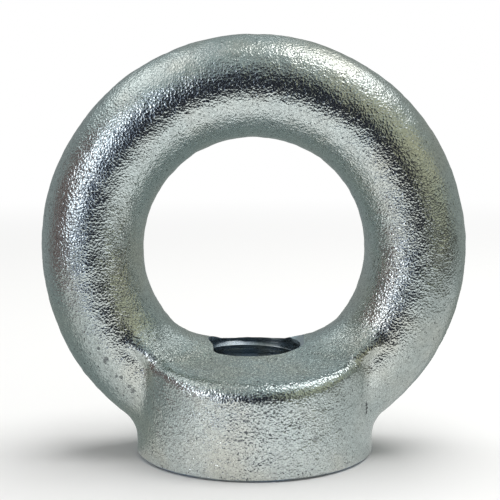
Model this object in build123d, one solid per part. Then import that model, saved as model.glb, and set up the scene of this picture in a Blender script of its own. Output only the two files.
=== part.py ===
"""Lifting eye nut for an M16 stud: one drop forging, faced, drilled and tapped.

Frame: millimetres, +Z up along the thread, origin at the centre of the seating
face, the ring standing in the XZ plane so that the eye opens along Y.
"""
from build123d import *
import math
import os

# ring
EYE_DIAMETER = 33.0         # clear opening for the hook or shackle
EYE_FLOOR_HEIGHT = 14.0     # seating face to the lowest point of the eye's circle
BAR_DEPTH = 15.0            # bar in the plane of the ring, from the eye to the outside
BAR_WIDTH = 16.0            # bar along Y, across the parting plane of the dies

# boss
BOSS_DIAMETER = 35.5
LIP_RISE = 1.6              # edge of the hole above the lowest point of the eye's circle
TOP_SLOPE = 18.0            # degrees down from the hole's edge to the shoulder
SHOULDER_RADIUS = 1.8
ROOT_RADIUS = 3.5           # blend all round where the ring grows out of the boss
BASE_CHAMFER = 0.4

# thread, drilled to its minor diameter
THREAD_MAJOR = 16.0
THREAD_PITCH = 2.0
COUNTERSINK_CLEARANCE = 1.0  # countersink mouth over the thread's major diameter
COUNTERSINK_ANGLE = 90.0     # degrees, included

# internal ISO thread: five eighths of the sharp profile's height is cut away
THREAD_MINOR = THREAD_MAJOR - 2 * 5 / 8 * THREAD_PITCH * math.sqrt(3) / 2

BAR_CENTRE_RADIUS = (EYE_DIAMETER + BAR_DEPTH) / 2
RING_CENTRE_HEIGHT = EYE_FLOOR_HEIGHT + EYE_DIAMETER / 2
LIP_HEIGHT = EYE_FLOOR_HEIGHT + LIP_RISE


def bar_section() -> Sketch:
    """Oval bar as two half ellipses that meet on the parting line, at the eye and outside."""
    halves = [
        EllipticalCenterArc((0, 0), BAR_DEPTH / 2, BAR_WIDTH / 2, start_angle=start, arc_size=180)
        for start in (0, 180)
    ]
    return make_face(halves)


def lifting_ring() -> Part:
    """Bar bent round the eye, cut off level inside the boss, at the top of its base chamfer."""
    lowest = Plane(
        origin=(0, 0, RING_CENTRE_HEIGHT - BAR_CENTRE_RADIUS), x_dir=(0, 0, -1), z_dir=(1, 0, 0)
    )
    ring = revolve(lowest * bar_section(), Axis((0, 0, RING_CENTRE_HEIGHT), (0, -1, 0)))
    return split(ring, Plane.XY.offset(BASE_CHAMFER), keep=Keep.TOP)


def boss() -> Part:
    """Round boss whose top slopes up from a rounded shoulder to the edge of the hole."""
    wall_radius = BOSS_DIAMETER / 2
    gradient = math.tan(math.radians(TOP_SLOPE))
    apex_height = LIP_HEIGHT + gradient * THREAD_MINOR / 2
    wall_height = apex_height - gradient * wall_radius
    profile = make_face(
        Polyline((0, 0), (wall_radius, 0), (wall_radius, wall_height), (0, apex_height), close=True)
    )
    wall_ends = profile.vertices().group_by(Axis.X)[-1].sort_by(Axis.Y)
    profile = fillet(wall_ends[-1], SHOULDER_RADIUS)
    base_corner = profile.vertices().group_by(Axis.X)[-1].sort_by(Axis.Y)[0]
    profile = chamfer(base_corner, BASE_CHAMFER)
    return revolve(Plane.XZ * profile, Axis.Z)


def forging() -> Part:
    """Ring and boss as one piece, blended all round where the legs leave the boss."""
    ring = lifting_ring()
    base = boss()
    blank = base + ring
    return fillet(new_edges(base, ring, combined=blank), ROOT_RADIUS)


def tapped_hole() -> Part:
    """Tool for the hole: the thread's minor diameter, with a countersink at the seat."""
    on_seat = (Align.CENTER, Align.CENTER, Align.MIN)
    minor_radius = THREAD_MINOR / 2
    mouth_radius = (THREAD_MAJOR + COUNTERSINK_CLEARANCE) / 2
    depth = (mouth_radius - minor_radius) / math.tan(math.radians(COUNTERSINK_ANGLE / 2))
    drill = Cylinder(minor_radius, RING_CENTRE_HEIGHT, align=on_seat)
    return drill + Cone(mouth_radius, minor_radius, depth, align=on_seat)


eye_nut = forging() - tapped_hole()

os.makedirs("parts", exist_ok=True)
export_step(eye_nut, "parts/eye_nut.step")
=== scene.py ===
"""Looks of a zinc plated lifting eye nut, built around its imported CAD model.

The forging is modelled as one closed skin: a ring and a boss that flow into each
other, with the relief of the dies and of shot blasting on it.  The seat is then
faced and the bore is drilled and tapped, as in the real sequence of work.
Lengths inside the builders are millimetres; the finished piece is in metres.
"""

import logging
import math
from dataclasses import dataclass
from enum import Enum
from typing import Iterable, Optional, Sequence, Union

import bmesh
import bpy
import numpy as np
from mathutils import Matrix, Vector

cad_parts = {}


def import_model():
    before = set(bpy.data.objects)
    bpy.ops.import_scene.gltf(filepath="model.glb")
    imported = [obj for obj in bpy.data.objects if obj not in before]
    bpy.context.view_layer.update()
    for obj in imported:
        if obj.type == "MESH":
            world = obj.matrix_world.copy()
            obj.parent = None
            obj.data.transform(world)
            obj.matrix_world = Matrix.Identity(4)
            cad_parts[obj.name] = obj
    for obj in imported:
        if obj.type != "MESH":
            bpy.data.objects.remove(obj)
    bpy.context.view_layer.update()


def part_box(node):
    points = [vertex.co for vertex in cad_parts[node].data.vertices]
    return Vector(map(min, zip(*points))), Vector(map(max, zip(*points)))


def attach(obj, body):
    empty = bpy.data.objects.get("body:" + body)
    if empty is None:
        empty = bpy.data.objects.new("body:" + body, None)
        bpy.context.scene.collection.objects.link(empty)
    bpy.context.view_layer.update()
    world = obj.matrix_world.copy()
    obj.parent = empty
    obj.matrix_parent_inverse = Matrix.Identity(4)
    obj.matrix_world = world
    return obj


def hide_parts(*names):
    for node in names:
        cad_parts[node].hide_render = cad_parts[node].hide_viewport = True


LOG = logging.getLogger("eye_nut")

NODE_NAME = "eye_nut"
PIECE_NAME = "forged_eye_nut"
BODY_NAME = "root"

MM = 0.001                      # metres in a millimetre
TURN = 2 * math.pi
TINY = 1e-9                     # keeps divisions by a length from failing
TINY_GRADIENT = 1e-12           # the same, for the length of a gradient
QUAD = 4                        # corners of the widest face that stays unsplit
WHITE = (1.0, 1.0, 1.0, 1.0)

Colour = tuple[float, float, float]
Place = tuple[float, float, float]
Span = tuple[float, float]
Object = bpy.types.Object
Tree = bpy.types.NodeTree
Socket = bpy.types.NodeSocket


class Surface(Enum):
    """The two kinds of surface on the part, in the order of its material slots."""

    FORGED = 0
    MACHINED = 1


# --- mesh helpers ---

def linked(name: str, data: object) -> Object:
    """Makes an object of a mesh, lamp or camera and links it to the scene."""
    made = bpy.data.objects.new(name, data)
    bpy.context.scene.collection.objects.link(made)
    return made


def make_object(name: str, vertices: np.ndarray, faces: Sequence[Sequence[int]]) -> Object:
    """Makes a mesh object and links it to the scene.

    Args:
        name: Name of the object and of its mesh.
        vertices: Array of points, one row each.
        faces: Vertex indices of each face, counter-clockwise seen from outside.

    Returns:
        The new object.
    """
    mesh = bpy.data.meshes.new(name)
    mesh.from_pydata([tuple(row) for row in vertices], [], [tuple(face) for face in faces])
    mesh.validate()
    return linked(name, mesh)


def circle(radius: float, height: float, segments: int) -> np.ndarray:
    """Returns the points of a level circle round Z, one row each."""
    angles = np.arange(segments) * TURN / segments
    return np.column_stack((radius * np.cos(angles), radius * np.sin(angles), np.full(segments, height)))


def square(side: float, height: float) -> np.ndarray:
    """Returns the corners of a level square round Z, one row each."""
    half = side / 2
    corners = ((-half, -half), (half, -half), (half, half), (-half, half))
    return np.array([(x, y, height) for x, y in corners])


def lathe(name: str, profile: Sequence[Span], segments: int) -> Object:
    """Turns a profile about Z into a closed solid.

    Args:
        name: Name of the object.
        profile: (radius, height) points from the lower end of the axis to the
            upper one; the first and last radius are zero.
        segments: Number of flats round the axis.

    Returns:
        The new object.
    """
    rings = [circle(radius, height, segments) for radius, height in profile[1:-1]]
    low, top = len(rings) * segments, (len(rings) - 1) * segments
    vertices = np.vstack(rings + [[(0, 0, profile[0][1])], [(0, 0, profile[-1][1])]])
    faces = []
    for j in range(segments):
        k = (j + 1) % segments
        faces.append((low, k, j))
        for a in range(0, top, segments):
            b = a + segments
            faces.append((a + j, a + k, b + k, b + j))
        faces.append((top + j, top + k, low + 1))
    return make_object(name, vertices, faces)


def read_rows(items: Sequence, label: str, width: int, kind: type = np.float64) -> np.ndarray:
    """Reads one property of all vertices, edges or faces of a mesh, one row each."""
    values = np.empty(len(items) * width, kind)
    items.foreach_get(label, values)
    return values.reshape(-1, width)


def evaluated(source: Object) -> bpy.types.Mesh:
    """Returns a copy of an object's mesh with its modifiers applied."""
    graph = bpy.context.evaluated_depsgraph_get()
    return bpy.data.meshes.new_from_object(source.evaluated_get(graph))


def discard(*objects: Object) -> None:
    """Removes helper objects and their meshes from the file."""
    for item in objects:
        mesh = item.data
        bpy.data.objects.remove(item)
        bpy.data.meshes.remove(mesh)


def cut(blank: Object, tools: Iterable[Object]) -> None:
    """Takes each closed tool away from the blank, and removes the tool."""
    for tool in tools:
        step = blank.modifiers.new(tool.name, "BOOLEAN")
        step.operation = "DIFFERENCE"
        step.solver = "MANIFOLD"
        step.object = tool
        result = evaluated(blank)
        blank.modifiers.remove(step)
        old = blank.data
        blank.data = result
        bpy.data.meshes.remove(old)
        discard(tool)


def clean_cuts(piece: Object, reach: float) -> None:
    """Collapses edges shorter than the reach and splits faces with over four corners,
    both left by cuts, so that the mesh stays closed when it is made of triangles."""
    shape = bmesh.new()
    shape.from_mesh(piece.data)
    bmesh.ops.dissolve_degenerate(shape, dist=reach, edges=shape.edges)
    many_sided = [face for face in shape.faces if len(face.verts) > QUAD]
    bmesh.ops.triangulate(shape, faces=many_sided, ngon_method="BEAUTY")
    shape.to_mesh(piece.data)
    shape.free()


# --- forms of the forging ---

@dataclass(frozen=True)
class Waves:
    """Smooth random relief, summed from plane waves of random directions.

    Attributes:
        spread: Spread of the heights about zero.
        shortest: Shortest wavelength.
        longest: Longest wavelength.
        seed: Seed of the directions, lengths and phases.
        count: Number of waves.
    """

    spread: float
    shortest: float
    longest: float
    seed: int
    count: int = 56

    def height(self, points: np.ndarray) -> np.ndarray:
        """Returns the height of the relief at each point."""
        draw = np.random.default_rng(self.seed)
        directions = draw.normal(size=(self.count, 3))
        directions /= np.linalg.norm(directions, axis=1)[:, None]
        lengths = draw.uniform(self.shortest, self.longest, self.count)
        phases = draw.uniform(0, TURN, self.count)
        total = np.zeros(len(points))
        for direction, length, phase in zip(directions, lengths, phases):
            total += np.cos(points @ direction * (TURN / length) + phase)
        return self.spread * (total * math.sqrt(2 / self.count))


@dataclass(frozen=True)
class Ring:
    """The lifting ring: an oval bar bent round the eye.

    Attributes:
        centre_height: Height of the ring's centre over the seat.
        outer_radius: Radius of the outside of the ring.
        bar_depth: Bar in the plane of the ring.
        bar_width: Bar across the plane of the ring.
        land_depth: Material that trimming the flash takes off the parting line.
        land_waviness: Unevenness of that trimmed land.
        land_crest: Highest wave of the land, as a share of its unevenness.
        land: Waves of the land along the ring.
    """

    centre_height: float
    outer_radius: float
    bar_depth: float = 15.0
    bar_width: float = 16.0
    land_depth: float = 0.02
    land_waviness: float = 0.03
    land_crest: float = 0.5
    land: Waves = Waves(1.0, 2.2, 7.0, seed=11, count=24)

    @property
    def centre_radius(self) -> float:
        """Radius of the bar's centre line."""
        return self.outer_radius - self.bar_depth / 2

    def place(self, points: np.ndarray) -> tuple[np.ndarray, np.ndarray, np.ndarray]:
        """Returns the offset outwards from the bar's centre line, the offset across
        it and the angle round the ring of each point."""
        x, y, z = points.T
        up = z - self.centre_height
        return np.hypot(x, up) - self.centre_radius, y, np.arctan2(up, x)

    def distance(self, points: np.ndarray) -> np.ndarray:
        """Returns the distance of each point outside the bar, negative inside it."""
        outwards, across, angle = self.place(points)
        a, b = self.bar_depth / 2, self.bar_width / 2
        level = np.sqrt((outwards / a) ** 2 + (across / b) ** 2) + TINY
        slope = np.sqrt((outwards / a**2) ** 2 + (across / b**2) ** 2) / level + TINY
        oval = (level - 1) / slope
        along = np.column_stack((np.cos(angle), np.sin(angle), np.zeros_like(angle)))
        uneven = self.land.height(along * self.outer_radius)
        trimmed = a - self.land_depth + self.land_waviness * np.minimum(uneven, self.land_crest)
        return np.maximum(oval, np.abs(outwards) - trimmed)

    def blank(self, segments: int = 160, sides: int = 48) -> Object:
        """Makes the plain bar as a closed mesh.

        Args:
            segments: Steps round the ring.
            sides: Steps round the bar.

        Returns:
            The mesh object.
        """
        turn = np.arange(segments) * TURN / segments
        side = np.arange(sides) * TURN / sides
        radius = self.centre_radius + self.bar_depth / 2 * np.cos(side)[None, :]
        x = np.cos(turn)[:, None] * radius
        z = self.centre_height + np.sin(turn)[:, None] * radius
        y = np.broadcast_to(-self.bar_width / 2 * np.sin(side)[None, :], x.shape)
        vertices = np.stack((x, y, z), -1).reshape(-1, 3)
        faces = []
        for i in range(segments):
            here, there = i * sides, (i + 1) % segments * sides
            for j in range(sides):
                k = (j + 1) % sides
                faces.append((here + j, here + k, there + k, there + j))
        return make_object("ring_blank", vertices, faces)


@dataclass(frozen=True)
class Boss:
    """The round foot of the nut, with a sloped top and a rounded shoulder.

    Attributes:
        radius: Radius of the wall.
        lip_height: Height of the sloped top where the hole breaks out.
        lip_radius: Radius at which that height is taken.
        top_slope: Fall of the top towards the wall, in degrees.
        shoulder_radius: Rounding between the top and the wall, at the front and back.
        leg_shoulder: The same rounding, at the legs of the ring.
        saddle_rise: Rise of the top towards the legs of the ring, at the wall.
        saddle_power: How late that rise sets in.
        stock: Height of the stock under the seat, which facing takes away.
    """

    radius: float
    lip_height: float = 15.6
    lip_radius: float = 6.9
    top_slope: float = 12.5
    shoulder_radius: float = 2.8
    leg_shoulder: float = 1.5
    saddle_rise: float = 3.6
    saddle_power: float = 2.5
    stock: float = 1.6

    @property
    def slope(self) -> float:
        """Slope of the top, in radians."""
        return math.radians(self.top_slope)

    def aside(self, points: np.ndarray) -> np.ndarray:
        """Returns how far each point lies towards the legs, from zero to one."""
        return np.clip(np.abs(points[:, 0]) / self.radius, 0, 1)

    def rise(self, points: np.ndarray) -> np.ndarray:
        """Returns how much the top rises towards the legs of the ring at each point."""
        return self.saddle_rise * self.aside(points) ** self.saddle_power

    def height_over_top(self, points: np.ndarray) -> np.ndarray:
        """Returns the height of each point over the sloped top, carried on outwards
        level from the shoulder."""
        out = np.minimum(np.hypot(points[:, 0], points[:, 1]), self.radius)
        fall = (out - self.lip_radius) * math.tan(self.slope)
        return points[:, 2] - self.lip_height + fall - self.rise(points)

    def distance(self, points: np.ndarray) -> np.ndarray:
        """Returns the distance of each point outside the boss, negative inside it."""
        slope = self.slope
        out = np.hypot(points[:, 0], points[:, 1])
        change = self.leg_shoulder - self.shoulder_radius
        shoulder = self.shoulder_radius + change * self.aside(points) ** 2
        wall = out - self.radius + shoulder
        height = points[:, 2] - self.rise(points)
        top = (height - self.lip_height + (out - self.lip_radius) * math.tan(slope)) * math.cos(slope)
        top += shoulder
        # the centre that the shoulder's rounding turns about
        corner_out = self.radius - shoulder
        corner_up = (self.lip_height - (corner_out - self.lip_radius) * math.tan(slope)
                     - shoulder / math.cos(slope))
        away, over = out - corner_out, height - corner_up
        beyond = (over > 0) & (away * math.cos(slope) - over * math.sin(slope) > 0)
        return np.where(beyond, np.hypot(away, over), np.maximum(wall, top)) - shoulder

    def blank(self, segments: int = 128) -> Object:
        """Makes the plain boss as a closed mesh."""
        slope = math.tan(self.slope)
        corner = self.lip_height - (self.radius - self.lip_radius) * slope
        apex = self.lip_height + self.lip_radius * slope
        profile = [(0, -self.stock), (self.radius, -self.stock), (self.radius, corner), (0, apex)]
        return lathe("boss_blank", profile, segments)


@dataclass(frozen=True)
class Blend:
    """Reach of the blend where the ring grows out of the boss, by where it lies.

    Attributes:
        crease: Between the broad sides of the bar and the wall of the boss.
        root: Between the outside of the ring and the wall, under the legs.
        corner: Between the broad sides of the bar and the top of the boss.
        throat: Between the inside of the ring and the top of the boss.
        level_share: How far the reach has gone from the wall's to the top's where it
            is level with the top.
        change_height: Height over which it goes from the one to the other.
    """

    crease: float = 0.75
    root: float = 1.7
    corner: float = 4.0
    throat: float = 4.0
    level_share: float = 0.68
    change_height: float = 2.7

    def reach(self, ring: Ring, boss: Boss, points: np.ndarray) -> np.ndarray:
        """Returns the reach of the blend near each point."""
        outwards, across, _ = ring.place(points)
        lean = outwards / (np.hypot(outwards, across) + TINY)
        at_wall = self.crease + (self.root - self.crease) * np.clip(lean, 0, 1) ** 2
        at_top = self.corner + (self.throat - self.corner) * np.clip(-lean, 0, 1) ** 2
        over = np.clip(self.level_share + boss.height_over_top(points) / self.change_height, 0, 1)
        return at_wall + (at_top - at_wall) * over * over * (3 - 2 * over)


@dataclass(frozen=True)
class Dimple:
    """A small dent or swelling of the skin.

    Attributes:
        centre: Where it is.
        radius: Radius at which it has nearly faded out.
        depth: How far it goes in; a swelling has a negative depth.
        rim: Height of the raised rim round it.
        fade: How fast it fades out.
        rim_fade: How fast the rim fades out.
    """

    centre: Place
    radius: float
    depth: float
    rim: float = 0.0
    fade: float = 3.0
    rim_fade: float = 18.0

    def height(self, points: np.ndarray) -> np.ndarray:
        """Returns the displacement that the dimple gives to each point."""
        away = np.linalg.norm(points - np.array(self.centre), axis=1) / self.radius
        dent = -self.depth * np.exp(-self.fade * away**2)
        return dent + self.rim * np.exp(-self.rim_fade * (away - 1) ** 2)


# what forging and blasting leave on the skin: the undulation of worn dies, scale
# pits, the coarsest blasted grain, then single marks of the flash and the skin
RELIEF = (
    Waves(0.035, 9.0, 20.0, seed=3),
    Waves(0.018, 1.9, 3.6, seed=5, count=96),
    Waves(0.009, 0.95, 1.5, seed=7, count=120),
    Dimple((-17.7, 0.0, 56.5), 1.3, 0.13),
    Dimple((-16.5, 0.0, 57.5), 0.9, -0.08),
    Dimple((-6.8, 0.0, 61.3), 1.1, 0.12),
    Dimple((18.6, -1.0, 5.9), 1.3, -0.20),
    Dimple((-17.9, -7.6, 10.9), 0.9, 0.05, 0.03))


@dataclass(frozen=True)
class Forging:
    """The raw forging: ring and boss flowing together, with its relief.

    Attributes:
        ring: The lifting ring.
        boss: The round foot.
        blend: Reach of the blend between them.
        relief: Waves and dimples of the skin.
        voxel: Mesh size of the skin.
        longest_step: Longest step in which a point is moved onto the form.
        smoothing: Share by which a point goes to the mean of its neighbours.
        smoothing_rounds: How often it does.
    """

    ring: Ring
    boss: Boss
    blend: Blend = Blend()
    relief: tuple[Union[Waves, Dimple], ...] = RELIEF
    voxel: float = 0.40
    longest_step: float = 0.6
    smoothing: float = 0.5
    smoothing_rounds: int = 4

    def distance(self, points: np.ndarray) -> np.ndarray:
        """Returns the distance of each point outside the plain form."""
        ring, boss = self.ring.distance(points), self.boss.distance(points)
        radius = self.blend.reach(self.ring, self.boss, points)
        rolled = np.hypot(np.maximum(radius - ring, 0), np.maximum(radius - boss, 0))
        joined = np.maximum(radius, np.minimum(ring, boss)) - rolled
        return np.maximum(joined, -points[:, 2] - self.boss.stock)

    def normals(self, points: np.ndarray, step: float = 0.02) -> tuple[np.ndarray, np.ndarray]:
        """Returns the distance of each point and its unit gradient, from differences
        over one step to either side."""
        gradient = np.empty_like(points)
        for axis in range(3):
            shift = np.zeros(3)
            shift[axis] = step
            gradient[:, axis] = self.distance(points + shift) - self.distance(points - shift)
        gradient /= np.linalg.norm(gradient, axis=1)[:, None] + TINY_GRADIENT
        return self.distance(points), gradient

    def settle(self, points: np.ndarray, rounds: int) -> np.ndarray:
        """Moves points onto the plain form by short steps along its gradient."""
        for _ in range(rounds):
            away, normal = self.normals(points)
            points = points - normal * np.clip(away, -self.longest_step, self.longest_step)[:, None]
        return points

    def skin(self) -> bpy.types.Mesh:
        """Wraps one even mesh round the plain ring and boss."""
        ring, boss = self.ring.blank(), self.boss.blank()
        rough = linked("forging", bpy.data.meshes.new("forging"))
        faces, vertices = [], []
        for part in (ring, boss):
            start = len(vertices)
            vertices.extend(v.co[:] for v in part.data.vertices)
            faces.extend([start + i for i in p.vertices] for p in part.data.polygons)
        rough.data.from_pydata(vertices, [], faces)
        remesh = rough.modifiers.new("skin", "REMESH")
        remesh.mode = "VOXEL"
        remesh.voxel_size = self.voxel
        skin = evaluated(rough)
        discard(ring, boss, rough)
        return skin

    def build(self) -> Object:
        """Meshes the forging as one closed object, in millimetres."""
        skin = self.skin()
        points = read_rows(skin.vertices, "co", 3)
        edges = read_rows(skin.edges, "vertices", 2, np.int64)
        ends = np.concatenate((edges[:, 0], edges[:, 1]))
        others = np.concatenate((edges[:, 1], edges[:, 0]))
        valence = np.bincount(ends, minlength=len(points))[:, None]
        points = self.settle(points, rounds=3)
        for _ in range(self.smoothing_rounds):
            total = np.column_stack([np.bincount(ends, column, len(points)) for column in points[others].T])
            points = self.settle(points + self.smoothing * (total / valence - points), rounds=2)
        _, normal = self.normals(points)
        height = sum(part.height(points) for part in self.relief)
        points = points + normal * height[:, None]
        points[:, 0] = np.clip(points[:, 0], -self.ring.outer_radius, self.ring.outer_radius)
        points[:, 1] = np.clip(points[:, 1], -self.boss.radius, self.boss.radius)
        points[:, 2] = np.minimum(points[:, 2], self.ring.centre_height + self.ring.outer_radius)
        skin.vertices.foreach_set("co", points.ravel())
        skin.update()
        return linked("forging", skin)


# --- machining ---

@dataclass(frozen=True)
class Seat:
    """The faced seat with its chamfered edge.

    Attributes:
        radius: Radius of the boss.
        chamfer: Chamfer of the edge.
    """

    radius: float
    chamfer: float = 0.4

    def tool(self, depth: float = 5.0, flare: float = 3.0, segments: int = 180) -> Object:
        """Makes the facing tool, which reaches down by the depth, ends at the seat and
        flares out along the chamfer."""
        inside = self.radius - self.chamfer
        outside = inside + flare
        profile = [(0, -depth), (outside, -depth), (outside, flare), (inside, 0), (0, 0)]
        return lathe("facing_tool", profile, segments)


@dataclass(frozen=True)
class TappedBore:
    """The bore with its right-hand metric thread.

    Attributes:
        major: Thread diameter at the roots of the nut's thread.
        pitch: Thread pitch.
        mouth_clearance: Countersink mouth over the major diameter.
        reach: Height to which the tap runs, clear of the lip.
        lead: Height by which the thread's start is moved.
    """

    major: float = 16.0
    pitch: float = 2.0
    mouth_clearance: float = 1.0
    reach: float = 19.5
    lead: float = -0.6

    @property
    def minor(self) -> float:
        """Thread diameter at the crests of the nut's thread, which is cut to five eighths
        of the height of the sharp profile."""
        return self.major - 2 * 5 / 8 * self.pitch * math.sqrt(3) / 2

    def tap(self, segments: int = 120, spare: int = 2) -> Object:
        """Makes the tap as a closed helical solid.

        Args:
            segments: Steps in one turn.
            spare: Turns under the seat, and pitches from the last turn to the tool's tip.

        Returns:
            The closed tool.
        """
        low, high = self.minor / 2, self.major / 2
        root, crest = self.pitch / 4, self.pitch / 8
        flank = (self.pitch - root - crest) / 2
        section = [(0.0, low), (root, low), (root + flank, high), (root + flank + crest, high)]
        per_turn = len(section)
        turns = math.ceil(self.reach / self.pitch) + spare
        start = -spare * self.pitch + self.lead
        vertices, faces = [], []
        rows = turns * per_turn
        for j in range(segments):
            angle = TURN * j / segments
            for row in range(rows + 1):
                rise, radius = section[row % per_turn]
                height = start + self.pitch * (row // per_turn + j / segments) + rise
                vertices.append((radius * math.cos(angle), radius * math.sin(angle), height))
        width = rows + 1
        for a in range(0, (segments - 1) * width, width):
            b = a + width
            faces.extend((a + r, b + r, b + r + 1, a + r + 1) for r in range(rows))
        # the last step meets the first one a turn higher up
        last = (segments - 1) * width
        for here in range(rows - per_turn):
            there = here + per_turn
            faces.append((last + here, there, there + 1, last + here + 1))
        bottom = [j * width for j in range(segments)] + [per_turn - i for i in range(per_turn)]
        top = [j * width + rows for j in range(segments)] + [last + rows - 1 - i for i in range(per_turn)]
        below, above = start - self.pitch, start + self.pitch * (turns + spare)
        for loop, height, flip in ((bottom, below, True), (top, above, False)):
            hub = len(vertices)
            vertices.append((0.0, 0.0, height))
            for here, there in zip(loop, loop[1:] + loop[:1]):
                faces.append((there, here, hub) if flip else (here, there, hub))
        return make_object("tap", np.array(vertices), faces)

    def countersink(self, below: float = 3.0, above: float = 2.0, segments: int = 120) -> Object:
        """Makes the tool for the 90 degree countersink of the mouth, by its reach below
        and above the seat."""
        mouth = (self.major + self.mouth_clearance) / 2
        profile = [(0, -below), (mouth + below, -below), (mouth - above, above), (0, above)]
        return lathe("countersink_tool", profile, segments)


# --- finishes ---

class Graph:
    """Adds nodes to a node tree and links them."""

    def __init__(self, tree: Tree) -> None:
        """Starts on an empty or cleared tree."""
        self.tree = tree

    def put(self, socket: Socket, value: object) -> None:
        """Links a socket into an input, or sets the input to a plain value."""
        if isinstance(value, Socket):
            self.tree.links.new(value, socket)
        else:
            socket.default_value = value

    def node(self, kind: str, inputs: Optional[dict] = None, **settings: object) -> bpy.types.Node:
        """Adds a shader node.

        Args:
            kind: Type name of the node, without the word for shader nodes in front.
            inputs: Values or sockets for its inputs, by name or number.
            **settings: Properties of the node.

        Returns:
            The node.
        """
        made = self.tree.nodes.new("ShaderNode" + kind)
        for key, value in settings.items():
            setattr(made, key, value)
        for key, value in (inputs or {}).items():
            self.put(made.inputs[key], value)
        return made

    def value(self, kind: str, output: Union[str, int], inputs: Optional[dict] = None,
              **settings: object) -> Socket:
        """Adds a shader node as above and returns one output, by name or number."""
        return self.node(kind, inputs, **settings).outputs[output]

    def math(self, operation: str, *values: object, clamp: bool = False) -> Socket:
        """Adds a Math node and returns its output."""
        return self.value("Math", 0, dict(enumerate(values)), operation=operation, use_clamp=clamp)

    def vector(self, operation: str, *values: object) -> Socket:
        """Adds a Vector Math node and returns the output that its operation fills."""
        output = "Value" if operation in ("DISTANCE", "DOT_PRODUCT", "LENGTH") else "Vector"
        return self.value("VectorMath", output, dict(enumerate(values)), operation=operation)

    def axes(self, vector: Socket) -> Sequence[Socket]:
        """Returns the three parts of a vector."""
        return self.node("SeparateXYZ", {0: vector}).outputs

    def remap(self, value: object, low: float, high: float, to_low: float = 0.0,
              to_high: float = 1.0) -> Socket:
        """Adds a smooth Map Range node and returns its output."""
        return self.value("MapRange", 0, {0: value, 1: low, 2: high, 3: to_low, 4: to_high},
                          interpolation_type="SMOOTHSTEP")

    def mix(self, factor: object, first: object, second: object) -> Socket:
        """Adds a colour Mix node and returns its output."""
        return self.value("Mix", 2, {0: factor, 6: first, 7: second}, data_type="RGBA")

    def noise(self, place: Socket, scale: object, detail: float, roughness: float) -> Socket:
        """Adds a Noise Texture node and returns its value."""
        return self.value("TexNoise", "Fac", {"Vector": place, "Scale": scale, "Detail": detail,
                                              "Roughness": roughness})

    def bump(self, depth: float, height: Socket, ground: Optional[Socket] = None) -> Socket:
        """Adds a Bump node, over an earlier normal if one is given, and returns its normal."""
        inputs = {"Strength": 1.0, "Distance": depth, "Height": height}
        if ground:
            inputs["Normal"] = ground
        return self.value("Bump", "Normal", inputs)

    def choose(self, factor: object, first: Socket, second: Socket) -> Socket:
        """Adds a Mix Shader node and returns its shader."""
        return self.value("MixShader", 0, {0: factor, 1: first, 2: second})


def rgba(colour: Colour) -> tuple[float, float, float, float]:
    """Returns a colour with full alpha."""
    return (*colour, 1.0)


def emptied(owner: Union[bpy.types.Material, bpy.types.World]) -> Graph:
    """Clears the nodes of a material or world and returns its graph."""
    owner.use_nodes = True
    owner.node_tree.nodes.clear()
    return Graph(owner.node_tree)


def new_group(name: str, inputs: dict[str, tuple[str, object]],
              outputs: dict[str, str]) -> tuple[Graph, bpy.types.NodeOutputs, bpy.types.NodeInputs]:
    """Makes an empty shader node group with named sockets.

    Args:
        name: Name of the group.
        inputs: Socket type and default of each input, by name.
        outputs: Socket type of each output, by name.

    Returns:
        The group's graph, the sockets that give its inputs and those that take its outputs.
    """
    group = bpy.data.node_groups.new(name, "ShaderNodeTree")
    for label, (kind, value) in inputs.items():
        socket = group.interface.new_socket(name=label, in_out="INPUT", socket_type="NodeSocket" + kind)
        socket.default_value = value
    for label, kind in outputs.items():
        group.interface.new_socket(name=label, in_out="OUTPUT", socket_type="NodeSocket" + kind)
    given, out = group.nodes.new("NodeGroupInput"), group.nodes.new("NodeGroupOutput")
    return Graph(group), given.outputs, out.inputs


def zinc_tone_group(cool_clouds: Span = (0.42, 0.66), warm_clouds: Span = (0.52, 0.34)) -> Tree:
    """Makes the group for the clouded colour of a passivated zinc layer.

    Args:
        cool_clouds: Cloud values between which the cool tint sets in.
        warm_clouds: Cloud values between which the warm tint sets in.

    Returns:
        A group that puts out a colour and the cloud mask.
    """
    graph, given, out = new_group(
        "zinc_tone",
        {"Zinc": ("Color", (0.6, 0.6, 0.6, 1)), "Cool Tint": ("Color", (0.5, 0.6, 0.6, 1)),
         "Warm Tint": ("Color", (0.6, 0.6, 0.5, 1)), "Cloud Scale": ("Float", 60.0),
         "Tint Amount": ("Float", 0.5)},
        {"Colour": "Color", "Cloud": "Float"})
    cloud = graph.noise(graph.value("TexCoord", "Object"), given["Cloud Scale"], 3.0, 0.55)
    colour = given["Zinc"]
    for tint, span in (("Cool Tint", cool_clouds), ("Warm Tint", warm_clouds)):
        amount = graph.math("MULTIPLY", graph.remap(cloud, *span), given["Tint Amount"])
        colour = graph.mix(amount, colour, given[tint])
    graph.put(out["Colour"], colour)
    graph.put(out["Cloud"], cloud)
    return graph.tree


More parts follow.
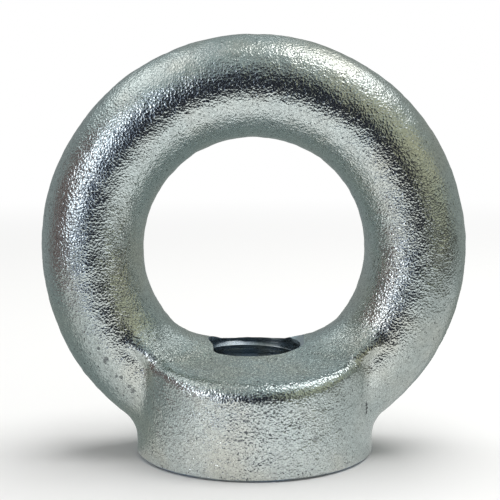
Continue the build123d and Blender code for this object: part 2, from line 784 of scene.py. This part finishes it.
def blast_grain_group(coarse_scale: float = 0.8, fine_scale: float = 2.4, bowl: float = 2.0,
                      pore_edge: float = 0.06, own_tone: float = 0.4, fine_span: Span = (0.3, 0.7)) -> Tree:
    """Makes the group for a blasted or pickled metal grain.

    Args:
        coarse_scale: Scale of the coarse grain and the pores, to that of the craters.
        fine_scale: Scale of the fine grain, to that of the craters.
        bowl: Power that shapes a crater's bowl.
        pore_edge: Width of a pore's edge, as a change of its noise.
        own_tone: Share of a grain's tone that is the same all over the grain.
        fine_span: Values of the fine grain between which the rest of the tone changes.

    Returns:
        A group that puts out a height, a mask of its pores and a tone for each grain,
        partly grain tone and partly painted glint of facets that catch the light.
    """
    graph, given, out = new_group(
        "blast_grain",
        {"Grain Scale": ("Float", 2000.0), "Crater Share": ("Float", 0.5), "Fine Share": ("Float", 0.35),
         "Pore Level": ("Float", 0.3)},
        {"Height": "Float", "Pores": "Float", "Speckle": "Float"})
    place, scale = graph.value("TexCoord", "Object"), given["Grain Scale"]
    coarse_size = graph.math("MULTIPLY", scale, coarse_scale)
    coarse = graph.noise(place, coarse_size, 1.0, 0.5)
    fine = graph.noise(place, graph.math("MULTIPLY", scale, fine_scale), 1.0, 0.5)
    pores = graph.noise(place, coarse_size, 2.0, 0.6)
    crater = graph.node("TexVoronoi", {"Vector": place, "Scale": scale, "Randomness": 1.0},
                        feature="F1").outputs
    hollow = graph.math("POWER", crater["Distance"], bowl)
    height = graph.math("MULTIPLY_ADD", fine, given["Fine Share"], coarse)
    height = graph.math("MULTIPLY_ADD", hollow, given["Crater Share"], height)
    # the tone of each crater; on the brightest grains it is painted glint
    shade = graph.value("SeparateColor", 0, {"Color": crater["Color"]})
    graph.put(out["Height"], height)
    below = graph.math("SUBTRACT", given["Pore Level"], pores)
    graph.put(out["Pores"], graph.remap(below, 0.0, pore_edge))
    # a tone for each grain: grain tone, with painted glints at its bright end
    graph.put(out["Speckle"], graph.math("MULTIPLY_ADD", shade, own_tone,
                                         graph.remap(fine, *fine_span, 0.0, 1.0 - own_tone)))
    return graph.tree


def surface_mark_group(tears: float = 1.2) -> Tree:
    """Makes the group for one mark of the surface, such as a pit or a worn field.

    Args:
        tears: Tears of a mark's edge to its radius.

    Returns:
        A group that puts out a mask, one inside the mark.
    """
    graph, given, out = new_group(
        "surface_mark",
        {"Centre": ("Vector", (0.0, 0.0, 0.0)), "Radius": ("Float", 0.001), "Softness": ("Float", 0.3),
         "Raggedness": ("Float", 1.0)},
        {"Mask": "Float"})
    place, radius = graph.value("TexCoord", "Object"), given["Radius"]
    torn = graph.noise(place, graph.math("DIVIDE", tears, radius), 2.0, 0.6)
    away = graph.math("DIVIDE", graph.vector("DISTANCE", place, given["Centre"]), radius)
    edge = graph.math("MULTIPLY_ADD", graph.math("SUBTRACT", torn, 0.5), given["Raggedness"], away)
    over = graph.math("DIVIDE", graph.math("SUBTRACT", 1.0, edge), given["Softness"])
    graph.put(out["Mask"], graph.remap(over, -1.0, 1.0))
    return graph.tree


@dataclass(frozen=True)
class Mark:
    """A mark of the surface.

    Attributes:
        centre: Where it is, in millimetres.
        radius: Its radius, in millimetres.
        strength: How strong it is, from zero to one.
        softness: Half the width of its edge, as a share of the radius.
        raggedness: How much its edge wanders.
    """

    centre: Place
    radius: float
    strength: float = 1.0
    softness: float = 0.3
    raggedness: float = 1.6

    def mask(self, graph: Graph, group: Tree) -> Socket:
        """Adds the mark to a material and returns its mask times its strength."""
        mask = graph.value("Group", "Mask", {
            "Centre": tuple(c * MM for c in self.centre), "Radius": self.radius * MM,
            "Softness": self.softness, "Raggedness": self.raggedness}, node_tree=group)
        return graph.math("MULTIPLY", mask, self.strength)


@dataclass(frozen=True)
class ZincFinish:
    """Bright zinc plating on steel, on a forged or a machined ground.

    Attributes:
        name: Name of the material.
        zinc: Colour of the plating.
        cool: Colour where the passivation is bluish.
        warm: Colour where it is yellowish.
        tint: Strength of those tints.
        cloud_scale: Scale of the clouding.
        roughness: Roughness between the grains.
        roughness_spread: Change of roughness with the clouding.
        grain_size: Size of a grain, in millimetres.
        grain_depth: Depth of the grain, in millimetres.
        crater_share: Share of the round craters in the grain.
        fine_share: Share of the finer grain.
        dull: Brightness of the dullest grains; the brightest are as much over one, and
        those bright grains are painted glints of facets that catch the light.
        pore_level: Level under which the grain shows dark pores.
        pore_colour: Colour of those pores.
        turning_pitch: Pitch of turning marks, in millimetres; zero leaves them out.
        turning_depth: Depth of the turning marks, in millimetres.
        pits: Single dark pits.
        worn: Fields with more pores.
        pit_depth: Depth of the pits, in millimetres.
        pore_roughness: Roughness that pores and pits add.
        cloud_span: Cloud values between which the roughness changes.
    """

    name: str
    zinc: Colour
    cool: Colour
    warm: Colour
    tint: float
    cloud_scale: float
    roughness: float
    roughness_spread: float
    grain_size: float
    grain_depth: float
    crater_share: float
    fine_share: float
    dull: float
    pore_level: float
    pore_colour: Colour
    turning_pitch: float = 0.0
    turning_depth: float = 0.0
    pits: tuple[Mark, ...] = ()
    worn: tuple[Mark, ...] = ()
    pit_depth: float = 0.08
    pore_roughness: float = 0.25
    cloud_span: Span = (0.3, 0.7)

    def build(self, tone: Tree, grain: Tree, mark: Tree) -> bpy.types.Material:
        """Makes the material.

        Args:
            tone: The zinc tone group.
            grain: The blast grain group.
            mark: The surface mark group.

        Returns:
            The material.
        """
        material = bpy.data.materials.new(self.name)
        graph = emptied(material)
        level: object = self.pore_level
        for worn in self.worn:
            level = graph.math("ADD", worn.mask(graph, mark), level)
        pitting: object = 0.0
        for pit in self.pits:
            pitting = graph.math("MAXIMUM", pit.mask(graph, mark), pitting)
        colour = graph.node("Group", {
            "Zinc": rgba(self.zinc), "Cool Tint": rgba(self.cool), "Warm Tint": rgba(self.warm),
            "Cloud Scale": self.cloud_scale, "Tint Amount": self.tint}, node_tree=tone).outputs
        ground = graph.node("Group", {
            "Grain Scale": 1 / (self.grain_size * MM), "Crater Share": self.crater_share,
            "Fine Share": self.fine_share, "Pore Level": level}, node_tree=grain).outputs
        # grains run from dulled to bright zinc; the bright grains are painted glints of facets that catch
        # the light, the rest is grain tone
        dulled, bright = (graph.vector("MULTIPLY", colour["Colour"], (share,) * 3)
                          for share in (self.dull, 2 - self.dull))
        surface = graph.mix(ground["Speckle"], dulled, bright)
        for holes in (ground["Pores"], pitting):
            surface = graph.mix(holes, surface, rgba(self.pore_colour))
        rough = graph.remap(colour["Cloud"], *self.cloud_span, self.roughness - self.roughness_spread,
                            self.roughness + self.roughness_spread)
        holed = graph.math("MAXIMUM", ground["Pores"], pitting)
        rough = graph.math("MULTIPLY_ADD", holed, self.pore_roughness, rough, clamp=True)
        normal = graph.bump(self.grain_depth * MM, ground["Height"])
        normal = graph.bump(self.pit_depth * MM, graph.math("MULTIPLY", pitting, -1.0), normal)
        if self.turning_pitch:
            x, y, _ = graph.axes(graph.value("TexCoord", "Object"))
            squares = (graph.math("POWER", part, 2.0) for part in (x, y))
            radius = graph.math("SQRT", graph.math("ADD", *squares))
            groove = graph.math("SINE", graph.math("MULTIPLY", radius, TURN / (self.turning_pitch * MM)))
            normal = graph.bump(self.turning_depth * MM, groove, normal)
        shader = graph.value("BsdfPrincipled", "BSDF", {
            "Metallic": 1.0, "Base Color": surface, "Roughness": rough, "Normal": normal})
        graph.node("OutputMaterial", {"Surface": shader})
        return material


FORGED_ZINC = ZincFinish(
    name="zinc_on_forged_skin", zinc=(0.59, 0.63, 0.61), cool=(0.52, 0.60, 0.61), warm=(0.60, 0.60, 0.53),
    tint=0.6, cloud_scale=70.0, roughness=0.12, roughness_spread=0.03, grain_size=0.31, grain_depth=0.056,
    crater_share=0.9, fine_share=0.40, dull=0.70, pore_level=0.36, pore_colour=(0.13, 0.14, 0.15),
    pits=(
        Mark((-21.5, -7.7, 15.4), 0.36, 0.7), Mark((-21.8, -7.6, 15.0), 0.25, 0.7),
        Mark((-19.4, -7.6, 12.7), 0.24, 0.7), Mark((-20.1, -7.5, 12.8), 0.20, 0.7),
        Mark((-22.6, -7.6, 17.0), 0.24, 0.7), Mark((-25.3, -6.1, 16.4), 0.20, 0.5),
        Mark((-23.9, -6.9, 16.1), 0.18, 0.5), Mark((-17.8, -7.5, 10.7), 0.38, 0.6),
        Mark((-18.3, -7.6, 11.3), 0.26, 0.6), Mark((-20.2, -6.7, 10.8), 0.22, 0.5),
        Mark((8.2, -15.8, 5.6), 0.50, 0.45, 0.5), Mark((16.1, -7.6, 8.4), 0.24),
        Mark((16.2, -7.4, 7.8), 0.28), Mark((16.2, -7.3, 7.2), 0.24),
        Mark((-14.9, -9.7, 3.6), 0.16, 0.8), Mark((-14.9, -9.8, 2.9), 0.14, 0.8),
        Mark((-14.9, -9.8, 2.2), 0.16, 0.8)),
    worn=(Mark((0.8, -17.7, 8.6), 6.5, 0.050, 0.7, 0.8), Mark((-21.0, -7.0, 13.0), 5.0, 0.02, 0.7, 0.8)))

MACHINED_ZINC = ZincFinish(
    name="zinc_on_machined_faces", zinc=(0.52, 0.59, 0.66), cool=(0.42, 0.52, 0.63), warm=(0.60, 0.59, 0.52),
    tint=0.5, cloud_scale=110.0, roughness=0.24, roughness_spread=0.05, grain_size=0.35, grain_depth=0.008,
    crater_share=0.3, fine_share=0.3, dull=0.95, pore_level=0.28, pore_colour=(0.32, 0.33, 0.35),
    turning_pitch=0.22, turning_depth=0.006, worn=(Mark((11.0, 7.0, 0.0), 4.0, 0.10, 0.6, 0.8),))


# --- the piece ---

@dataclass(frozen=True)
class EyeNut:
    """The whole nut: a forging that is faced, drilled and tapped, then plated.

    Attributes:
        forging: The raw forging.
        seat: The faced seat.
        bore: The tapped bore.
        shortest_edge: Length under which an edge that a cut leaves is collapsed.
        skin_tolerance: Depth under the plain form at which any face counts as cut.
        bore_margin: Distance outside the thread within which a face can be the bore's.
        inwards_share: Share of a face's normal towards the axis that makes it the bore's.
        down_share: Share of a face's normal downwards that makes it the seat's.
        crease_angle: Angle in degrees above which an edge stays sharp.
    """

    forging: Forging
    seat: Seat
    bore: TappedBore
    shortest_edge: float = 0.003
    skin_tolerance: float = 0.32
    bore_margin: float = 0.1
    inwards_share: float = 0.4
    down_share: float = 0.6
    crease_angle: float = 32.0

    def build(self) -> Object:
        """Builds the nut as one closed piece, in metres, without materials."""
        nut = self.forging.build()
        LOG.info("forging: %d faces", len(nut.data.polygons))
        cut(nut, (self.seat.tool(), self.bore.tap(), self.bore.countersink()))
        clean_cuts(nut, self.shortest_edge)
        nut.name = nut.data.name = PIECE_NAME
        self.mark_surfaces(nut.data)
        nut.data.transform(Matrix.Scale(MM, 4))
        return nut

    def mark_surfaces(self, mesh: bpy.types.Mesh) -> None:
        """Gives each face the slot of its kind of surface, and shades the mesh."""
        centres, facing = (read_rows(mesh.polygons, label, 3) for label in ("center", "normal"))
        out = np.hypot(centres[:, 0], centres[:, 1])
        inwards = -(centres[:, 0] * facing[:, 0] + centres[:, 1] * facing[:, 1]) / (out + TINY)
        deep = self.forging.distance(centres) < -self.skin_tolerance
        near = (out < self.bore.major / 2 + self.bore_margin) & (centres[:, 2] < self.bore.reach)
        under = (facing[:, 2] < -self.down_share) & (centres[:, 2] < self.seat.chamfer)
        machined = near & (deep | (inwards > self.inwards_share)) | under
        kinds = np.where(machined, Surface.MACHINED.value, Surface.FORGED.value)
        mesh.materials.clear()
        for _ in Surface:
            mesh.materials.append(None)
        mesh.polygons.foreach_set("material_index", kinds.astype(np.int32))
        mesh.polygons.foreach_set("use_smooth", np.ones(len(mesh.polygons), bool))
        mesh.set_sharp_from_angle(angle=math.radians(self.crease_angle))

    def dress(self, nut: Object) -> None:
        """Gives the nut its finishes and ties it to the CAD frame."""
        tone, grain, mark = zinc_tone_group(), blast_grain_group(), surface_mark_group()
        for surface, finish in ((Surface.FORGED, FORGED_ZINC), (Surface.MACHINED, MACHINED_ZINC)):
            nut.data.materials[surface.value] = finish.build(tone, grain, mark)
        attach(nut, BODY_NAME)
        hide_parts(NODE_NAME)


# --- studio ---

@dataclass(frozen=True)
class Panel:
    """A soft-edged panel of the studio, by its direction from the object.

    Attributes:
        azimuth: Lowest and highest azimuth in degrees, from the front towards +X.
        elevation: Lowest and highest elevation in degrees.
        softness: Width of its soft edge in degrees.
        colour: Radiance.
    """

    azimuth: Span
    elevation: Span
    softness: float
    colour: Colour


@dataclass(frozen=True)
class Spot:
    """A round soft lamp face of the studio, by its direction from the object.

    Attributes:
        direction: Direction from the object.
        size: Half its width in degrees.
        colour: Radiance.
    """

    direction: Place
    size: float
    colour: Colour


@dataclass(frozen=True)
class Tent:
    """A light tent round the object that shapes what the metal mirrors.

    Attributes:
        radius: Radius of the tent, in metres.
        height: Height of its centre, in metres.
        table_fade: Distances from the middle of the table between which the tent's
            skirt covers the floor, in metres.
        table_centre: The middle of the lit table, in metres.
        inner_radius: Radius of the skirt's hole for the object, in metres.
        table_edge: Distances from the object between which the table ends, in metres.
        skirt_height: Height of the skirt over the floor, in metres.
        sheet_fade: Distances behind the object between which the grey sheet on the
            floor sets in, in metres.
        spot_edge: Edge of a spot's soft rim and of its full face, to its size.
        ground: Radiance between the panels.
        panels: Its panels, each laid over those before it.
        table: Panels that the table's surface takes its radiance from.
        spots: Its round lamp faces.
    """

    radius: float = 0.7
    height: float = 0.030
    table_fade: Span = (0.014, 0.055)
    table_centre: Place = (0.0, -0.035, 0.0)
    inner_radius: float = 0.020
    table_edge: Span = (0.114, 0.138)
    skirt_height: float = 0.0006
    sheet_fade: Span = (-0.015, 0.020)
    spot_edge: Span = (1.4, 0.6)
    ground: Colour = (0.29, 0.32, 0.32)
    panels: tuple[Panel, ...] = (
        Panel((-200, 200), (32, 100), 8, (0.39, 0.46, 0.46)),
        Panel((80, 200), (-40, 33), 8, (0.31, 0.34, 0.32)),
        Panel((-160, -60), (58, 76), 8, (0.70, 0.72, 0.72)),
        Panel((-136, -95), (42, 62), 8, (1.58, 1.61, 1.59)),
        Panel((-97, -50), (44, 61), 6, (1.05, 1.07, 1.05)),
        Panel((56, 155), (45, 66), 6, (0.90, 0.92, 0.88)),
        Panel((100, 155), (36, 44), 6, (0.52, 0.54, 0.51)),
        Panel((-104, -61), (-40, 32), 6, (0.19, 0.145, 0.14)),
        Panel((-36, -22), (-40, 38), 5, (0.50, 0.58, 0.75)),
        Panel((-61, -36), (-40, 5), 4, (0.15, 0.15, 0.18)),
        Panel((-59, -37), (5, 32), 3, (1.45, 1.48, 1.63)),
        Panel((-54, -40), (6, 28), 4, (3.50, 3.55, 3.75)),
        Panel((20, 90), (-40, 7), 5, (0.14, 0.14, 0.12)),
        Panel((58, 98), (-40, 3), 5, (0.08, 0.08, 0.07)),
        Panel((28, 84), (7, 40), 6, (0.50, 0.51, 0.38)),
        Panel((28, 50), (40, 56), 6, (0.46, 0.47, 0.40)),
        Panel((-26, 30), (-40, 34), 3, (0.026, 0.028, 0.038)),
        Panel((-13, 11), (34, 62), 6, (0.12, 0.12, 0.13)),
    )
    table: tuple[Panel, ...] = (
        Panel((-200, 200), (-100, 10), 6, (0.60, 0.62, 0.60)),
        Panel((-48, 46), (-100, 10), 36, (0.98, 1.00, 0.98)),
        Panel((-16, 16), (-100, 10), 24, (1.06, 1.08, 1.06)),
        Panel((115, 200), (-100, 10), 14, (0.25, 0.29, 0.28)),
        Panel((-200, -80), (-100, 10), 14, (0.25, 0.29, 0.28)),
    )
    spots: tuple[Spot, ...] = (
        Spot((0.33, 0.07, 0.94), 9, (4.0, 4.0, 4.0)),
        Spot((0.47, 0.08, 0.88), 9, (4.0, 4.0, 4.0)),
        Spot((0.54, 0.26, 0.80), 8, (2.4, 2.4, 2.4)),
        Spot((0.18, 0.08, 0.98), 6, (1.6, 1.6, 1.6)),
        Spot((0.10, 0.80, 0.58), 3, (1.9, 2.0, 2.0)),
        Spot((-0.40, 0.62, 0.70), 3, (1.9, 2.0, 2.0)),
        Spot((0.48, 0.62, 0.66), 3, (1.9, 2.0, 2.0)),
    )

    def painted(self, graph: Graph, panels: tuple[Panel, ...], azimuth: Socket, elevation: Socket) -> Socket:
        """Lays panels over the ground tone.

        Args:
            graph: Graph to add to.
            panels: The panels, each laid over those before it.
            azimuth: Azimuth of the point in degrees.
            elevation: Elevation of the point in degrees.

        Returns:
            The colour.
        """
        colour: object = rgba(self.ground)
        for panel in panels:
            mask: object = 1.0
            for value, (low, high) in ((azimuth, panel.azimuth), (elevation, panel.elevation)):
                half = panel.softness / 2
                rise = graph.remap(value, low - half, low + half)
                fall = graph.remap(value, high + half, high - half)
                mask = graph.math("MULTIPLY", mask, graph.math("MULTIPLY", rise, fall))
            colour = graph.mix(mask, colour, rgba(panel.colour))
        return colour

    def material(self) -> bpy.types.Material:
        """Makes the tent's glowing cloth."""
        material = bpy.data.materials.new("tent_cloth")
        graph = emptied(material)
        place = graph.value("NewGeometry", "Position")
        towards = graph.vector("NORMALIZE", graph.vector("ADD", place, (0, 0, -self.height)))
        x, y, z = graph.axes(towards)
        azimuth = graph.math("DEGREES", graph.math("ARCTAN2", x, graph.math("MULTIPLY", y, -1.0)))
        elevation = graph.math("DEGREES", graph.math("ARCSINE", z))
        colour = self.painted(graph, self.panels, azimuth, elevation)
        for spot in self.spots:
            facing = graph.vector("DOT_PRODUCT", towards, tuple(Vector(spot.direction).normalized()))
            off_axis = graph.math("DEGREES", graph.math("ARCCOSINE", facing))
            mask = graph.remap(off_axis, *(spot.size * edge for edge in self.spot_edge))
            colour = graph.mix(mask, colour, rgba(spot.colour))
        on_table = graph.remap(graph.vector("LENGTH", place), *reversed(self.table_edge))
        colour = graph.mix(on_table, colour, self.painted(graph, self.table, azimuth, elevation))
        behind = graph.remap(graph.axes(place)[1], *self.sheet_fade)
        outside = graph.remap(graph.vector("DISTANCE", place, self.table_centre), *self.table_fade)
        glow = graph.value("Emission", 0, {"Color": colour, "Strength": 1.0})
        shown = graph.choose(graph.math("MAXIMUM", behind, outside), graph.value("BsdfTransparent", 0), glow)
        graph.node("OutputMaterial", {"Surface": shown})
        return material

    def build(self, steps: int = 24, segments: int = 64) -> Object:
        """Sets the tent up: a dome, a skirt on the floor round the table's edge and a
        grey sheet on the floor behind the object.

        Args:
            steps: Steps from the foot of the dome to its top.
            segments: Steps round it.

        Returns:
            The tent, a stage object that the camera doesn't see.
        """
        profile = [(self.inner_radius, self.skirt_height)]
        for step in range(steps + 1):
            angle = math.pi / 2 * step / steps
            up = self.skirt_height + self.radius * math.sin(angle)
            profile.append((self.radius * math.cos(angle), up))
        dome = np.vstack([circle(radius, height, segments) for radius, height in profile])
        faces = []
        for here in range(0, len(dome) - segments, segments):
            there = here + segments
            for j in range(segments):
                k = (j + 1) % segments
                faces.append((here + j, there + j, there + k, here + k))
        sheet = square(2 * self.radius, self.skirt_height / 2)
        faces.append(range(len(dome), len(dome) + len(sheet)))
        tent = make_object("tent", np.vstack((dome, sheet)), faces)
        tent.data.materials.append(self.material())
        tent.visible_camera = False
        tent.visible_shadow = False
        tent.visible_diffuse = False
        return tent


@dataclass(frozen=True)
class Studio:
    """Floor, background, tent, lamp and camera.

    Attributes:
        floor_size: Side of the floor, in metres.
        floor_drop: Depth of the floor under the seat, in metres.
        floor_fade: Distances between which the floor turns to the plain white of
            the background, in metres.
        floor_colour: Colour of the floor.
        floor_opening: Inner and outer radius of the part of the floor that the seat
            hides, left open so that the seat can be looked at from below, in metres.
        fill: Radiance of the world where it isn't looked at.
        lamp_power: Power of the overhead lamp, in watts.
        lamp_place: Where it hangs, in metres.
        lamp_aim: Height on the object that it points at, in metres.
        lamp_size: Side of its face, in metres.
        camera_place: Place of the camera, in millimetres.
        yaw: Turn of the camera about Z, in radians.
        pitch: Tilt of the camera, in radians.
        roll: Roll of the camera, in radians.
        lens: Focal length, in millimetres.
        sensor: Width of the sensor, in millimetres.
        clip: Nearest and farthest distance that the camera sees, in metres.
        tent: The light tent.
    """

    floor_size: float = 12.0
    floor_drop: float = 0.00003
    floor_fade: Span = (0.12, 0.50)
    floor_colour: Colour = (0.80, 0.80, 0.79)
    floor_opening: Span = (0.0090, 0.0170)
    fill: float = 0.45
    lamp_power: float = 4.0
    lamp_place: Place = (0.10, 0.05, 0.62)
    lamp_aim: float = 0.03
    lamp_size: float = 0.5
    camera_place: Place = (-2.894, -180.0, 52.066)
    yaw: float = -0.0127
    pitch: float = -0.1208
    roll: float = 0.004
    lens: float = 87.47
    sensor: float = 36.0
    clip: Span = (0.01, 20.0)
    tent: Tent = Tent()

    def camera(self) -> Object:
        """Makes the scene's camera."""
        data = bpy.data.cameras.new("camera")
        data.lens, data.sensor_width = self.lens, self.sensor
        data.clip_start, data.clip_end = self.clip
        made = linked("camera", data)
        turned = (Matrix.Rotation(self.yaw, 3, "Z") @ Matrix.Rotation(self.pitch, 3, "X")
                  @ Matrix.Rotation(self.roll, 3, "Y") @ Matrix.Rotation(math.pi / 2, 3, "X"))
        made.matrix_world = Matrix.Translation(Vector(self.camera_place) * MM) @ turned.to_4x4()
        bpy.context.scene.camera = made
        return made

    def world(self) -> None:
        """Gives the world a plain white background and a neutral fill."""
        world = bpy.data.worlds.new("studio")
        graph = emptied(world)
        fill, white = (graph.value("Background", 0, {"Color": WHITE, "Strength": strength})
                       for strength in (self.fill, 1.0))
        graph.node("OutputWorld", {"Surface": graph.choose(self.seen_directly(graph), fill, white)})
        bpy.context.scene.world = world

    @staticmethod
    def seen_directly(graph: Graph) -> Socket:
        """Returns one for camera, glossy and transmission rays and zero for others."""
        path = graph.node("LightPath").outputs
        total = graph.math("ADD", path["Is Camera Ray"], path["Is Glossy Ray"])
        return graph.math("ADD", total, path["Is Transmission Ray"], clamp=True)

    def floor(self) -> Object:
        """Lays the pale floor, which keeps the object's shadow and can be seen
        through from below."""
        floor = make_object("floor", square(self.floor_size, -self.floor_drop), [range(4)])
        material = bpy.data.materials.new("floor_paper")
        graph = emptied(material)
        paper = graph.value("BsdfDiffuse", 0, {"Color": rgba(self.floor_colour)})
        white = graph.value("Emission", 0, {"Color": WHITE, "Strength": 1.0})
        geometry = graph.node("NewGeometry").outputs
        away = graph.vector("LENGTH", geometry["Position"])
        fade = graph.math("MULTIPLY", self.seen_directly(graph), graph.remap(away, *self.floor_fade))
        inner, outer = self.floor_opening
        past, short = graph.math("GREATER_THAN", away, inner), graph.math("LESS_THAN", away, outer)
        clear = graph.math("MAXIMUM", geometry["Backfacing"], graph.math("MULTIPLY", past, short))
        shown = graph.choose(clear, graph.choose(fade, paper, white), graph.value("BsdfTransparent", 0))
        graph.node("OutputMaterial", {"Surface": shown})
        floor.data.materials.append(material)
        return floor

    def lamp(self) -> Object:
        """Hangs the square soft lamp, which points at the object."""
        data = bpy.data.lights.new("overhead", "AREA")
        data.size, data.energy = self.lamp_size, self.lamp_power
        made = linked("overhead", data)
        made.location = self.lamp_place
        made.rotation_mode = "QUATERNION"
        aim = Vector((0, 0, self.lamp_aim)) - Vector(self.lamp_place)
        made.rotation_quaternion = aim.to_track_quat("-Z", "Y")
        made.visible_glossy = False
        return made

    def build(self) -> None:
        """Sets up the whole studio."""
        bpy.context.scene.view_settings.view_transform = "Standard"
        self.world()
        self.floor()
        self.tent.build()
        self.lamp()
        self.camera()
        LOG.info("studio: floor, tent, lamp and camera")


def main() -> None:
    """Builds the scene: the nut, its finishes and the studio."""
    logging.basicConfig(level=logging.INFO, format="%(name)s: %(message)s")
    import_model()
    low, high = (Vector(corner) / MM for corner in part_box(NODE_NAME))
    ring = Ring(centre_height=high.z - high.x, outer_radius=high.x)
    boss = Boss(radius=high.y)
    nut = EyeNut(Forging(ring, boss), Seat(boss.radius), TappedBore())
    piece = nut.build()
    nut.dress(piece)
    piece.data.calc_loop_triangles()
    LOG.info("%s: %d triangles, base at %.2f mm", piece.name, len(piece.data.loop_triangles), low.z)
    Studio().build()


if __name__ == "__main__":
    main()
